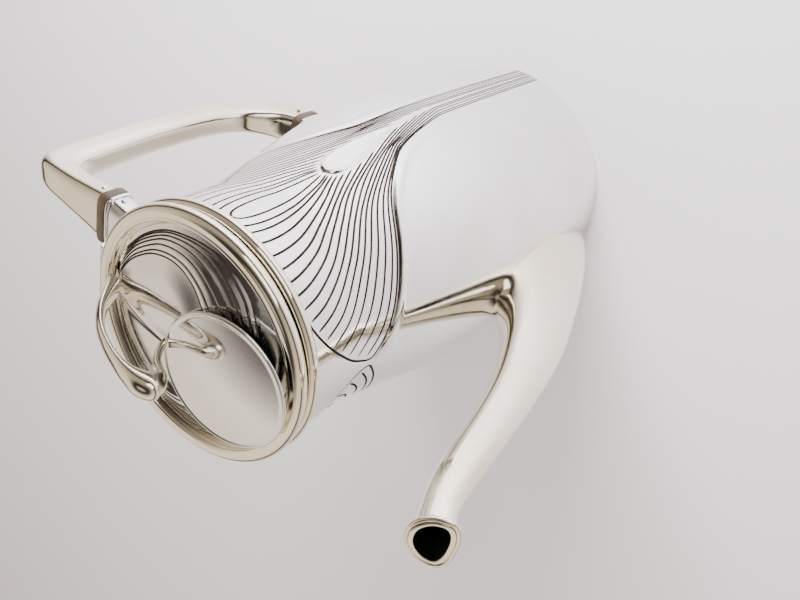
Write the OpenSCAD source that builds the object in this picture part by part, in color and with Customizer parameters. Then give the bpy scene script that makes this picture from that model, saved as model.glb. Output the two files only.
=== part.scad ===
// Art Nouveau silver coffee pot with a hinged lid, a swan-neck spout and a heat-insulated handle.
// Millimetres. The origin is the centre of the base, on the axis of the pot, on the table.
// +Z is up, the spout points along -X, and the handle and the lid hinge are on the +X side.

/* [Body] */
// Height of the body wall, up to the top of the mouth ring
body_h = 171; // [165:1:180]
// Outer radius of the neck
neck_r = 36.6; // [36:0.1:37]
// Outer radius of the belly at its widest
belly_r = 48.9; // [46:0.1:52]
// Thickness of the silver wall
wall = 1.2; // [0.8:0.1:1.6]
// Radius that the belly draws in by at the base
base_draw_in = 0.7; // [0:0.1:2]

/* [Base] */
// Thickness of the bottom plate
base_plate_t = 1.2; // [0.8:0.1:2]

/* [Spout] */
// Thickness of the spout wall
spout_wall = 1.1; // [0.8:0.1:1.5]
// Radius of each strainer hole
strainer_hole_r = 1.4; // [1:0.1:1.8]
// Distance between the strainer holes
strainer_pitch = 4.4; // [4:0.1:5]

/* [Handle] */
// Distance from the axis to the outer end of each silver socket
socket_x = 56.5; // [54:0.5:59]
// Thickness of each insulator plate
insulator_t = 3.5; // [2.5:0.1:5]
// Height of the middle of the upper arm
upper_arm_z = 154.2; // [150:0.2:158]
// Height of the middle of the lower arm
lower_arm_z = 46.5; // [42:0.5:50]
// Radius of the four pins that hold the handle
pin_r = 1; // [0.8:0.1:1.2]
// Thickness of the hollow handle's wall
grip_wall = 1.3; // [1:0.1:1.8]

/* [Lid] */
// Outer radius of the rolled lid rim
rim_r = 38; // [37.6:0.1:39]
// Width of the rolled lid rim
rim_w = 4.6; // [4:0.1:5]
// Height of the rolled lid rim
rim_h = 4.8; // [4:0.1:5.4]
// Rise of the dome above the middle of the rim
dome_rise = 6; // [4:0.5:8]
// Depth of the inner collar that locates the lid in the mouth
bezel_h = 8; // [6:0.5:9]

/* [Hinge] */
// Distance from the axis of the pot to the hinge pin
hinge_x = 37.4; // [37.2:0.1:37.8]
// Outer radius of the hinge knuckles
knuckle_r = 1.8; // [1.6:0.1:1.8]
// Radius of the hinge pin
hinge_pin_r = 0.8; // [0.7:0.05:0.9]

/* [Leaf] */
// Radius of the round leaf on the lid
leaf_r = 20; // [18:0.5:20.5]
// Tilt of the leaf towards the spout, in degrees
leaf_tilt = 4; // [2:0.5:6]

/* [Hidden] */

silver = [0.80, 0.79, 0.76];
warm_silver = [0.80, 0.76, 0.66];
dark_brown = [0.23, 0.16, 0.10];

neck_z = 148;        // the neck is a straight cylinder above this height
belly_z = 74;        // the shoulder ends at this height
foot_z = 6;          // the wall is a straight cylinder below this height
shoulder_power = 0.78;
ring_z = body_h - 3.6;
rim_z = body_h + 0.4;                 // underside of the closed lid's rim
hinge_z = rim_z + 1.7;                // the barrel is let into the lid's rim
dome_z = rim_z + 2.4;                 // the dome's edge, inside the rim
dome_r = rim_r - rim_w;
dome_t = 1;
dome_steps = 14;
collar_r = neck_r - wall - 1.2;
body_steps = 40;
section_n = 24;
spout_round = 0.86;
handle_round = 0.55;
lip_t = 1.2;
strainer_z = 61;
clear = 0.05;                         // room round the hinge pin and the tenons
lower_dx = 12.5;                      // how much further out the lower fittings stand
lower_socket_x = socket_x + lower_dx;
tenon_w = 5;                          // half width, half height and length of each tenon
tenon_h = 2.6;
tenon_l = 5.5;
socket_pin_dx = -2.8;                 // pins, from the near face of the insulator plate
handle_pin_dx = 2.8;                  // and from its far face
knuckle_half = 3;                     // half length of the lid's knuckle
hinge_half = 8.6;                     // half length of the whole hinge
knuckle_gap = 0.25;
notch_x = hinge_x - knuckle_r - 0.3;  // inner face and top of the notch in the rim
notch_top = hinge_z + knuckle_r + 0.3;
strap_x = neck_r + 1.65;              // inner face of the straps, clear of the mouth ring
leaf_x = -16.4;                       // middle of the leaf
leaf_z = 180.6;
leaf_t = 1.4;
leaf_ball_r = 120;                    // radius of the leaf's domed top

// Sections of the spout, from the root to the mouth, each across its inner and outer lines:
// [inner x, inner z, outer x, outer z, half width, egg]
spout_rows = [[-40, 84.5, -40, 7, 12.6, 0.25], [-48.4, 85.5, -48.4, 11, 12.9, 0.25],
    [-53, 89.5, -57, 25, 12.6, 0.22], [-57.2, 96.5, -65, 47, 11.8, 0.15],
    [-60.8, 105, -72, 71, 10.6, 0.08], [-64.2, 115.5, -77.3, 94, 9.2, 0],
    [-67.2, 128, -80, 117, 8, -0.05], [-69.3, 142, -81.5, 138, 7.2, -0.1],
    [-71, 156, -82.5, 156, 6.7, -0.15], [-73.6, 169.5, -84, 170.5, 6.5, -0.2],
    [-77.8, 182.6, -87.6, 179, 7, -0.25]];
// Sections of the handle, from the upper to the lower insulator, in the same form
handle_rows = [[60, 149.6, 60, 158.8, 8.6, 0], [68, 149.3, 68.5, 158.4, 7.3, 0],
    [76, 148.9, 78.5, 158, 6.2, 0], [81.5, 147.4, 89, 157, 5.6, 0],
    [84.4, 144.6, 94.6, 153.6, 5.4, 0], [86.2, 140, 97, 146.5, 5.3, 0],
    [87.4, 133, 98, 136, 5.3, 0], [88.8, 121, 99.2, 122.5, 5.3, 0],
    [90, 106, 100.4, 106.5, 5.3, 0], [90.4, 90, 101.1, 89, 5.3, 0],
    [89.6, 77, 100.9, 71, 5.4, 0], [86.8, 67, 98.3, 55, 5.6, 0],
    [82, 60.2, 91.5, 44.8, 6, 0], [77.5, 56, 82, 40.8, 6.6, 0],
    [72.5, 54, 72.5, 39.4, 7.2, 0]];
// Sections of the loop, from its foot at the hinge side, over the top, to its stem on the leaf
loop_rows = [[28.5, 175.5, 33, 176.5, 3.6, 0], [25.6, 180.6, 28.6, 182.2, 3.4, 0],
    [22.6, 184.8, 24.6, 186.6, 3.2, 0], [17.9, 188.9, 19.2, 190.9, 2.7, 0],
    [12, 192, 12.8, 194, 2.5, 0], [6, 193.8, 6.5, 196.2, 2.6, 0],
    [1, 194, 0.8, 197.8, 2.9, 0], [-2.4, 192.8, -5, 198.6, 3.3, 0],
    [-3.6, 191.6, -9.4, 196.6, 3.2, 0], [-3.4, 190.6, -9.3, 193, 2.5, 0],
    [-2.8, 190, -6.5, 189.6, 1.6, 0], [-1, 189.6, -2.2, 187.4, 1.2, 0],
    [1.8, 187, 0.2, 185.6, 1.2, 0], [4.2, 183, 2.2, 182.4, 1.5, 0],
    [5.4, 178, 2.6, 178, 2.2, 0]];

// ---- outline of the body ----
function ease(t) = t * t * (3 - 2 * t);
function shoulder(z) = ease(pow(min(1, max(0, (neck_z - z) / (neck_z - belly_z))), shoulder_power));
function draw_in(z) = base_draw_in * pow(max(0, belly_z - max(z, foot_z)) / (belly_z - foot_z), 2);
function body_r(z) = neck_r + (belly_r - neck_r) * shoulder(z) - draw_in(z);
function body_heights(low) = concat([low, foot_z],
    [for (i = [1:body_steps]) foot_z + (neck_z - foot_z) * i / body_steps], [body_h]);

function dome_arc(drop) = [for (i = [0:dome_steps])
    [dome_r * i / dome_steps, dome_z + drop + dome_rise * (1 - pow(i / dome_steps, 2))]];

// ---- swept shapes in the XZ plane ----
function spline(p, t) = let (n = len(p) - 1, i = min(floor(t), n - 1), u = t - i,
    a = p[max(i - 1, 0)], b = p[i], c = p[i + 1], d = p[min(i + 2, n)])
    0.5 * (2 * b + (c - a) * u + (2 * a - 5 * b + 4 * c - d) * u * u
    + (3 * b - a - 3 * c + d) * u * u * u);
function signed_power(v, e) = sign(v) * pow(abs(v), e);
// One closed section across its inner and outer points. e is the roundness: 1 for an ellipse
// and less for a rounded box. grow moves the outline out, or in when it is negative.
function section(rows, t, e, grow) = let (c = spline(rows, t),
    mid = [(c[0] + c[2]) / 2, (c[1] + c[3]) / 2], half = [(c[0] - c[2]) / 2, (c[1] - c[3]) / 2],
    reach = norm(half), way = half / reach)
    [for (k = [0:section_n - 1]) let (w = 360 * k / section_n,
        u = (reach + grow) * signed_power(cos(w), e),
        v = (c[4] + grow) * signed_power(sin(w), e) * (1 + c[5] * cos(w)))
        [mid[0] + way[0] * u, v, mid[1] + way[1] * u]];
function sections(rows, from, to, steps, e, grow) =
    [for (i = [0:steps]) section(rows, from + (to - from) * i / steps, e, grow)];
function shifted(ring, by) = [for (p = ring) p + by];
function flat(rows) = [for (row = rows) for (item = row) item];

module skin(rings) {
    n = section_n;
    last = len(rings) - 1;
    polyhedron(points = flat(rings), faces = concat(
        [[for (j = [0:n - 1]) j]],
        [for (i = [0:last - 1]) for (j = [0:n - 1])
            [i * n + j, (i + 1) * n + j, (i + 1) * n + (j + 1) % n, i * n + (j + 1) % n]],
        [[for (j = [n - 1:-1:0]) last * n + j]]));
}

module swept(rows, from, to, steps, e, grow) {
    skin(sections(rows, from, to, steps, e, grow));
}

// A closed tube through rings that follow each other round, the last one joining the first
module ring_skin(rings) {
    n = section_n;
    m = len(rings);
    polyhedron(points = flat(rings), faces = [for (i = [0:m - 1]) for (j = [0:n - 1])
        [i * n + j, ((i + 1) % m) * n + j, ((i + 1) % m) * n + (j + 1) % n, i * n + (j + 1) % n]]);
}

// ---- shared bodies ----
module body_solid() {
    heights = body_heights(0);
    rotate_extrude($fn = 96)
        polygon(concat([[0, 0]], [for (z = heights) [body_r(z), z]], [[0, body_h]]));
}

// The dome filled in down to a flat bottom
module dome_solid() {
    rotate_extrude($fn = 96)
        polygon(concat([[0, dome_z - 1]], dome_arc(0), [[dome_r, dome_z - 1]]));
}

module cross_pin(x, z, half_length, r) {
    translate([x, half_length, z])
        rotate([90, 0, 0])
            cylinder(r = r, h = 2 * half_length, $fn = 32);
}

// ---- body ----
module body_shell() {
    outer = body_heights(0);
    color(silver)
        difference() {
            rotate_extrude($fn = 96)
                polygon(concat([for (z = outer) [body_r(z), z]],
                    [for (i = [len(outer) - 1:-1:0]) [body_r(outer[i]) - wall, outer[i]]]));
            strainer_holes();
        }
}

// Staggered rows of holes through the wall, inside an oval behind the spout's root
module strainer_holes() {
    for (row = [-3:3])
        for (col = [-2:2]) {
            y = (col + (row % 2 == 0 ? 0 : 0.5)) * strainer_pitch;
            z = row * strainer_pitch;
            if (pow(y / 9, 2) + pow(z / 15, 2) < 1)
                translate([-belly_r - 4, y, strainer_z + z])
                    rotate([0, 90, 0])
                        cylinder(r = strainer_hole_r, h = 12, $fn = 24);
        }
}

module base_plate() {
    color(silver)
        cylinder(r = body_r(0) - wall, h = base_plate_t, $fn = 96);
}

module mouth_ring() {
    ring_h = body_h - ring_z;
    color(warm_silver)
        rotate_extrude($fn = 96)
            translate([neck_r, ring_z])
                intersection() {
                    square([1.5, ring_h]);
                    translate([-0.4, ring_h / 2])
                        circle(r = 1.95, $fn = 40);
                }
}

// ---- spout ----
module spout() {
    last = len(spout_rows) - 1;
    channel = sections(spout_rows, 0, last, 24, spout_round, -spout_wall);
    color(warm_silver)
        difference() {
            swept(spout_rows, 0, last, 24, spout_round, 0);
            skin(concat([shifted(channel[0], [1, 0, 0])], channel,
                [shifted(channel[24], [-1, 0, 2])]));
            body_solid();
        }
}

module spout_lip() {
    last = len(spout_rows) - 1;
    color(warm_silver)
        ring_skin([for (q = [0:7]) section(spout_rows, last - 0.1 + 0.1 * cos(45 * q),
            spout_round, lip_t / 2 + 0.04 + lip_t / 2 * sin(45 * q))]);
}

// ---- handle fittings ----
// A rounded plate square to the arm, from x to x + t
module arm_plate(x, t, z, half_h, half_w, corner) {
    translate([x, 0, z])
        rotate([90, 0, 90])
            linear_extrude(t)
                rounded_rect(half_w, half_h, corner);
}

module rounded_rect(half_w, half_h, corner) {
    union() {
        square([2 * half_w - 2 * corner, 2 * half_h], center = true);
        square([2 * half_w, 2 * half_h - 2 * corner], center = true);
        for (sx = [-1, 1])
            for (sy = [-1, 1])
                translate([sx * (half_w - corner), sy * (half_h - corner)])
                    circle(r = corner, $fn = 24);
    }
}

module tenon_pocket(z) {
    arm_plate(socket_x - tenon_l - 0.2, tenon_l + 0.3, z, tenon_h + clear, tenon_w + clear, 1);
}

module insulator(z, half_h, half_w) {
    difference() {
        union() {
            arm_plate(socket_x, insulator_t, z, half_h, half_w, 3);
            arm_plate(socket_x - tenon_l, 2 * tenon_l + insulator_t, z, tenon_h, tenon_w, 1);
        }
        cross_pin(socket_x + socket_pin_dx, z, 20, pin_r);
        cross_pin(socket_x + insulator_t + handle_pin_dx, z, 20, pin_r);
    }
}

module upper_socket() {
    color(silver)
        difference() {
            union() {
                intersection() {
                    translate([0, 12, 0])
                        rotate([90, 0, 0])
                            linear_extrude(24)
                                polygon([[30, 144], [37.4, 146.5], [44, 149.2], [socket_x, 149.6],
                                    [socket_x, 158.8], [44, 159.4], [40, 161], [30, 161]]);
                    linear_extrude(200)
                        polygon([[30, -9.4], [38, -9.2], [46, -7.4], [socket_x, -8.4],
                            [socket_x, 8.4], [46, 7.4], [38, 9.2], [30, 9.4]]);
                }
                arm_plate(socket_x - 1.2, 1.2, upper_arm_z, 5.2, 9.1, 3);
            }
            tenon_pocket(upper_arm_z);
            cross_pin(socket_x + socket_pin_dx, upper_arm_z, 20, pin_r);
            body_solid();
        }
}

module lower_socket() {
    color(silver)
        difference() {
            union() {
                intersection() {
                    translate([0, 12, 0])
                        rotate([90, 0, 0])
                            linear_extrude(24)
                                polygon([[44, 33], [49, 34.5], [56, 40], [lower_socket_x, 40.5],
                                    [lower_socket_x, 52.5], [56, 53], [49, 59], [44, 61]]);
                    linear_extrude(200)
                        polygon([[44, -9.4], [50, -9.2], [58, -6.6], [lower_socket_x, -7],
                            [lower_socket_x, 7], [58, 6.6], [50, 9.2], [44, 9.4]]);
                }
                lower_shift()
                    arm_plate(socket_x - 1.2, 1.2, lower_arm_z, 7.4, 7.7, 3);
            }
            lower_shift()
                tenon_pocket(lower_arm_z);
            lower_shift()
                cross_pin(socket_x + socket_pin_dx, lower_arm_z, 20, pin_r);
            body_solid();
        }
}

// Moves a fitting out to the end of the lower arm
module lower_shift() {
    translate([lower_dx, 0, 0])
        children();
}

module upper_insulator() {
    color(dark_brown)
        insulator(upper_arm_z, 5.3, 9.2);
}

module lower_insulator() {
    color(dark_brown)
        lower_shift()
            insulator(lower_arm_z, 7.5, 7.8);
}

module upper_socket_pin() {
    color(silver)
        cross_pin(socket_x + socket_pin_dx, upper_arm_z, 8.6, pin_r);
}

module upper_handle_pin() {
    color(silver)
        cross_pin(socket_x + insulator_t + handle_pin_dx, upper_arm_z, 8.6, pin_r);
}

module lower_socket_pin() {
    color(silver)
        lower_shift()
            cross_pin(socket_x + socket_pin_dx, lower_arm_z, 7.8, pin_r);
}

module lower_handle_pin() {
    color(silver)
        lower_shift()
            cross_pin(socket_x + insulator_t + handle_pin_dx, lower_arm_z, 8, pin_r);
}

module handle() {
    last = len(handle_rows) - 1;
    color(warm_silver)
        difference() {
            swept(handle_rows, 0, last, 38, handle_round, 0);
            swept(handle_rows, 0.4, last - 0.9, 32, handle_round, -grip_wall);
            handle_sockets();
            cross_pin(socket_x + insulator_t + handle_pin_dx, upper_arm_z, 20, pin_r);
            lower_shift()
                cross_pin(socket_x + insulator_t + handle_pin_dx, lower_arm_z, 20, pin_r);
        }
}

// Pockets in both ends of the handle for the insulators' tenons
module handle_sockets() {
    arm_plate(socket_x, insulator_t + tenon_l + 0.2, upper_arm_z, tenon_h + clear, tenon_w + clear, 1);
    lower_shift()
        arm_plate(socket_x, insulator_t + tenon_l + 0.2, lower_arm_z, tenon_h + clear,
            tenon_w + clear, 1);
}

// ---- hinge ----
module knuckle(from, to) {
    translate([hinge_x, to, hinge_z])
        rotate([90, 0, 0])
            cylinder(r = knuckle_r, h = to - from, $fn = 48);
}

module hinge_bore(r) {
    cross_pin(hinge_x, hinge_z, 20, r);
}

// The body's two outer knuckles, on straps that pass outside the mouth ring to a bracket
module hinge_body_leaf() {
    side_l = hinge_half - knuckle_half - knuckle_gap;
    color(silver)
        difference() {
            union() {
                for (side = [-1, 1])
                    translate([0, side * (hinge_half + knuckle_half + knuckle_gap) / 2, 0]) {
                        knuckle(-side_l / 2, side_l / 2);
                        translate([strap_x, -side_l / 2, ring_z - 1])
                            cube([hinge_x + knuckle_r - strap_x, side_l, hinge_z - ring_z + 1]);
                    }
                translate([neck_r - 2, -hinge_half, 161])
                    cube([hinge_x + knuckle_r - neck_r + 2, 2 * hinge_half, ring_z - 0.2 - 161]);
            }
            hinge_bore(hinge_pin_r);
            body_solid();
        }
}

// The lid's middle knuckle, with the block that joins it to the notch in the rim
module hinge_lid_leaf() {
    color(silver)
        difference() {
            union() {
                knuckle(-knuckle_half, knuckle_half);
                translate([notch_x, -knuckle_half, rim_z + 0.3])
                    cube([hinge_x - notch_x, 2 * knuckle_half, notch_top - rim_z - 0.3]);
            }
            hinge_bore(hinge_pin_r + clear);
        }
}

module hinge_pin() {
    color(silver)
        cross_pin(hinge_x, hinge_z, hinge_half, hinge_pin_r);
}

// ---- lid ----
module lid_dome() {
    under = dome_arc(-dome_t);
    color(silver)
        rotate_extrude($fn = 96)
            polygon(concat(dome_arc(0), [for (i = [len(under) - 1:-1:0]) under[i]]));
}

module lid_rim() {
    corner = rim_h / 2;
    color(warm_silver)
        difference() {
            rotate_extrude($fn = 96)
                translate([rim_r - rim_w, rim_z])
                    intersection() {
                        square([rim_w, rim_h]);
                        union() {
                            square([rim_w - corner, rim_h]);
                            translate([rim_w - corner, corner])
                                circle(r = corner, $fn = 48);
                        }
                    }
            hinge_notch();
        }
}

// Room for the hinge barrel, under the unbroken top of the rim
module hinge_notch() {
    half = hinge_half + knuckle_gap;
    translate([notch_x, -half, rim_z - 1])
        cube([rim_r, 2 * half, notch_top - rim_z + 1]);
}

module lid_collar() {
    color(silver)
        rotate_extrude($fn = 96)
            translate([collar_r - 1, rim_z - bezel_h])
                square([1, bezel_h]);
}

module leaf_disc() {
    translate([leaf_x, 0, leaf_z])
        rotate([0, -leaf_tilt, 0])
            intersection() {
                translate([0, 0, leaf_t - leaf_ball_r])
                    sphere(r = leaf_ball_r, $fn = 200);
                translate([0, 0, -leaf_t])
                    cylinder(r = leaf_r, h = 2 * leaf_t, $fn = 96);
            }
}

module lid_leaf() {
    color(silver)
        difference() {
            union() {
                leaf_disc();
                translate([-4, 0, dome_z + 1])
                    cylinder(r = 5, h = leaf_z - dome_z - 1, $fn = 48);
            }
            dome_solid();
        }
}

module finial_loop() {
    last = len(loop_rows) - 1;
    color(warm_silver)
        difference() {
            swept(loop_rows, 0, last, 44, 0.9, 0);
            dome_solid();
            lid_leaf();
        }
}

body_shell();
base_plate();
mouth_ring();
spout();
spout_lip();
upper_socket();
upper_insulator();
upper_socket_pin();
upper_handle_pin();
lower_socket();
lower_insulator();
lower_socket_pin();
lower_handle_pin();
handle();
hinge_body_leaf();
hinge_lid_leaf();
hinge_pin();
lid_dome();
lid_rim();
lid_collar();
finial_loop();
lid_leaf();
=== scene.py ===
"""Looks of the silver coffee pot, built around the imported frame.

Shapes are worked out in millimetres in the frame's own axes (+Z up, spout towards -X, handle and
hinge towards +X) and turned into metres when a mesh is made. A place on the body is (angle,
height): the angle is in degrees round the pot from the spout towards the -Y side.
"""
import math

import bmesh
import bpy
import numpy as np
from mathutils import Matrix, Vector
from mathutils.geometry import delaunay_2d_cdt


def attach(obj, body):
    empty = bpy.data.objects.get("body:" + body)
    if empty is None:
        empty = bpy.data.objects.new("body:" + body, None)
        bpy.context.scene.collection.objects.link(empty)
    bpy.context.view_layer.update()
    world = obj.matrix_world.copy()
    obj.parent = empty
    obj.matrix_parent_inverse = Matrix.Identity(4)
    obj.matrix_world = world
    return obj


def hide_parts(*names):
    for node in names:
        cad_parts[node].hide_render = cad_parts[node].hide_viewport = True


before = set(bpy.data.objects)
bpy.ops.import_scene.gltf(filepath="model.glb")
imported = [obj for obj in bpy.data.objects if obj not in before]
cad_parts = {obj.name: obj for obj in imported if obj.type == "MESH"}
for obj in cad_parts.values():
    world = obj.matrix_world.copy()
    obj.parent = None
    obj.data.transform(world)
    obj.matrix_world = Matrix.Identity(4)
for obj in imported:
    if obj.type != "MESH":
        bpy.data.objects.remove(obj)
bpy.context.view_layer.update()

MM = 0.001
SHARP_ANGLE = math.radians(38)

# ---- sizes of the pot, in millimetres ----
BODY_H = 171.0
NECK_R = 36.6
BELLY_R = 48.9
WALL = 1.2
DRAW_IN = 0.7
NECK_Z = 148.0
BELLY_Z = 74.0
FOOT_Z = 6.0
SHOULDER_POWER = 0.78
RING_Z = BODY_H - 3.6
RIM_R = 38.0
RIM_W = 4.6
RIM_H = 4.8
RIM_Z = BODY_H + 0.4
DOME_R = RIM_R - RIM_W
DOME_Z = RIM_Z + 2.4
DOME_RISE = 6.0
DOME_T = 1.0
DOME_STEP_R = 32.2            # the dome steps down outside this radius
COLLAR_R = NECK_R - WALL - 1.2
COLLAR_T = 1.0
COLLAR_H = 8.0
SPOUT_WALL = 1.1
SPOUT_ROUND = 0.86
HANDLE_ROUND = 0.55
LOOP_ROUND = 0.9
STRAINER_R = 1.4
STRAINER_PITCH = 4.4
STRAINER_Z = 61.0
STRAINER_HALF_W = 9.0
STRAINER_HALF_H = 15.0
SOCKET_X = 56.5
LOWER_DX = 12.5
UPPER_ARM_Z = 154.2
LOWER_ARM_Z = 46.5
UPPER_PLATE = (5.2, 9.1)      # half height and half width of each socket's end plate
LOWER_PLATE = (7.4, 7.7)
PLATE_T = 1.3
INSULATOR_T = 3.5
INSULATOR_PROUD = 0.1
PIN_DX = 2.8                  # how far the pins sit from the insulator's faces
HINGE_X = 37.4
HINGE_Z = RIM_Z + 1.7
HINGE_PIN_R = 0.8
KNUCKLE_R = 1.8
HINGE_HALF = 8.6
KNUCKLE_HALF = 3.0
KNUCKLE_GAP = 0.25
NOTCH_X = HINGE_X - KNUCKLE_R - 0.3
NOTCH_TOP = HINGE_Z + KNUCKLE_R + 0.3
NOTCH_ANGLE = 13.9
STRAP_X = NECK_R + 1.65
BRACKET_Z = 161.0
PIN_R = 1.0
LEAF_X = -16.4
LEAF_Z = 180.6
LEAF_R = 20.0
LEAF_T = 1.4
LEAF_TILT = math.radians(4)
LEAF_BALL_R = 120.0
LEAF_POST_X = -4.0

# Sections of the swept parts: inner x, inner z, outer x, outer z, half width, egg
SPOUT_ROWS = [
    (-40, 84.5, -40, 7, 12.6, 0.25), (-48.4, 85.5, -48.4, 11, 12.9, 0.25),
    (-53, 89.5, -57, 25, 12.6, 0.22), (-57.2, 96.5, -65, 47, 11.8, 0.15),
    (-60.8, 105, -72, 71, 10.6, 0.08), (-64.2, 115.5, -77.3, 94, 9.2, 0),
    (-67.2, 128, -80, 117, 8, -0.05), (-69.3, 142, -81.5, 138, 7.2, -0.1),
    (-71, 156, -82.5, 156, 6.7, -0.15), (-73.6, 169.5, -84, 170.5, 6.5, -0.2),
    (-77.8, 182.6, -87.6, 179, 7, -0.25),
]
HANDLE_ROWS = [
    (60, 149.6, 60, 158.8, 8.6, 0), (68, 149.3, 68.5, 158.4, 7.3, 0),
    (76, 148.9, 78.5, 158, 6.2, 0), (81.5, 147.4, 89, 157, 5.6, 0),
    (84.4, 144.6, 94.6, 153.6, 5.4, 0), (86.2, 140, 97, 146.5, 5.3, 0),
    (87.4, 133, 98, 136, 5.3, 0), (88.8, 121, 99.2, 122.5, 5.3, 0),
    (90, 106, 100.4, 106.5, 5.3, 0), (90.4, 90, 101.1, 89, 5.3, 0),
    (89.6, 77, 100.9, 71, 5.4, 0), (86.8, 67, 98.3, 55, 5.6, 0),
    (82, 60.2, 91.5, 44.8, 6, 0), (77.5, 56, 82, 40.8, 6.6, 0),
    (72.5, 54, 72.5, 39.4, 7.2, 0),
]
LOOP_ROWS = [
    (28.5, 175.5, 33, 176.5, 3.6, 0), (25.6, 180.6, 28.6, 182.2, 3.4, 0),
    (22.6, 184.8, 24.6, 186.6, 3.2, 0), (17.9, 188.9, 19.2, 190.9, 2.7, 0),
    (12, 192, 12.8, 194, 2.5, 0), (6, 193.8, 6.5, 196.2, 2.6, 0),
    (1, 194, 0.8, 197.8, 2.9, 0), (-2.4, 192.8, -5, 198.6, 3.3, 0),
    (-3.6, 191.6, -9.4, 196.6, 3.2, 0), (-3.4, 190.6, -9.3, 193, 2.5, 0),
    (-2.8, 190, -6.5, 189.6, 1.6, 0), (-1, 189.6, -2.2, 187.4, 1.2, 0),
    (1.8, 187, 0.2, 185.6, 1.2, 0), (4.2, 183, 2.2, 182.4, 1.5, 0),
    (5.4, 178, 2.6, 178, 2.2, 0),
]
# Fittings, from the body outwards: x, lowest z, highest z, half width
UPPER_SOCKET_ROWS = [
    (34, 145, 161, 9.3), (37.6, 146.6, 160.6, 9.2), (41, 148.2, 159.9, 8.3),
    (45, 149.3, 159.4, 7.5), (50, 149.5, 159, 7.7), (55.2, 149.4, 158.9, 8.2),
]
LOWER_SOCKET_ROWS = [
    (45, 33.2, 61, 9.4), (49, 34.8, 58.8, 9.1), (53, 37.4, 55.6, 7.9),
    (57, 39.9, 53.2, 6.8), (62, 40.3, 52.8, 6.7), (67.7, 40.3, 52.7, 6.9),
]

# ---- engraved lines on the body, as (angle, height) ----
# Each guide runs from the tongue's edge or the rim down to the band, or into the drop.
LINE_GUIDES = [
    [(2.4, 142.4), (15, 137.3), (42.5, 130), (64, 122), (76.8, 110), (81.3, 99.5), (84.3, 80)],
    [(15.6, 158.4), (25.5, 148.8), (46, 139), (67, 127.6), (80.5, 110), (84.2, 99.5), (88.9, 78)],
    [(35.6, 168.6), (39.9, 159), (50.7, 148), (65, 137.9), (76.2, 127.3), (84.8, 110), (88.5, 98)],
    [(59.8, 170.6), (60.3, 163.5), (63.4, 155), (69.4, 146.7), (76.3, 138), (82.4, 130), (88, 119)],
    [(85, 170.6), (81.9, 163.5), (81.3, 156.5), (82.4, 149), (84.8, 140.3), (86.4, 135), (90, 128)],
]
LINES_PER_GUIDE = 4
BAND_LINES = 5
# Half of the long loop above the drop
LOOP_LINE = [(89.4, 132.4), (88.2, 137.5), (86.7, 145), (85.7, 153), (85.7, 160), (87.2, 165), (90, 166.8)]
# The smooth tongue's edge, from the rim down to its tip above the spout
TONGUE_EDGE = [(52, 170.4), (41, 168.3), (30.5, 165.6), (21, 161.2), (12, 155.2), (7.6, 151.6),
               (4.2, 147.6), (2.3, 144.6), (2.4, 142.4)]
DROP_LOW = 97.0
DROP_HIGH = 131.0
DROP_HALF = 6.1
LINE_W = (0.42, 0.80)         # in the band and near the rim
LINE_W_Z = (90.0, 150.0)      # the heights of those widths
LINE_DEPTH = 0.26
LINE_STEP = 1.1
FOOT_ROUND = 0.6
FLAT_R = 42.0        # radius at which angles are turned into lengths when the wall is laid flat


# ---- curves ----
def ease(t):
    return t * t * (3 - 2 * t)


def body_r(z):
    """Outer radius of the plain wall at height z, for numbers or arrays."""
    z = np.asarray(z, float)
    rise = np.clip((NECK_Z - z) / (NECK_Z - BELLY_Z), 0, 1) ** SHOULDER_POWER
    sunk = np.clip(BELLY_Z - np.maximum(z, FOOT_Z), 0, None) / (BELLY_Z - FOOT_Z)
    return NECK_R + (BELLY_R - NECK_R) * ease(rise) - DRAW_IN * sunk ** 2


def spline(rows, t):
    """Catmull-Rom curve through the rows. t counts the rows from 0."""
    rows = np.asarray(rows, float)
    n = len(rows) - 1
    i = min(int(t), n - 1)
    u = t - i
    a, b, c, d = rows[max(i - 1, 0)], rows[i], rows[i + 1], rows[min(i + 2, n)]
    square, cube = 2 * a - 5 * b + 4 * c - d, 3 * b - a - 3 * c + d
    return 0.5 * (2 * b + (c - a) * u + square * u ** 2 + cube * u ** 3)


def curve(rows, steps):
    last = len(rows) - 1
    return np.array([spline(rows, last * k / steps) for k in range(steps + 1)])


def clipped(path, margin):
    """The stretch of a laid-out line that stays inside the quarter."""
    low, high = np.array([margin, margin]), np.array([QUARTER_W - margin, BODY_H - margin])
    return path[np.all((path > low) & (path < high), axis=1)]


def resample(points, step):
    """The same line with points at equal distances."""
    points = np.asarray(points, float)
    gaps = np.hypot(*np.diff(points, axis=0).T)
    along = np.concatenate([[0], np.cumsum(gaps)])
    count = max(2, int(round(along[-1] / step)) + 1)
    at = np.linspace(0, along[-1], count)
    return np.column_stack([np.interp(at, along, points[:, k]) for k in range(2)])


def signed_power(v, e):
    return np.sign(v) * np.abs(v) ** e


def section(rows, t, roundness, grow, count):
    """One closed section of a swept part, in the frame's axes."""
    xi, zi, xo, zo, half_w, egg = spline(rows, t)
    mid = np.array([(xi + xo) / 2, (zi + zo) / 2])
    half = np.array([xi - xo, zi - zo]) / 2
    reach = np.hypot(*half)
    way = half / reach
    w = np.linspace(0, 2 * math.pi, count, endpoint=False)
    u = (reach + grow) * signed_power(np.cos(w), roundness)
    v = (half_w + grow) * signed_power(np.sin(w), roundness) * (1 + egg * np.cos(w))
    return np.column_stack([mid[0] + way[0] * u, v, mid[1] + way[1] * u])


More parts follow.
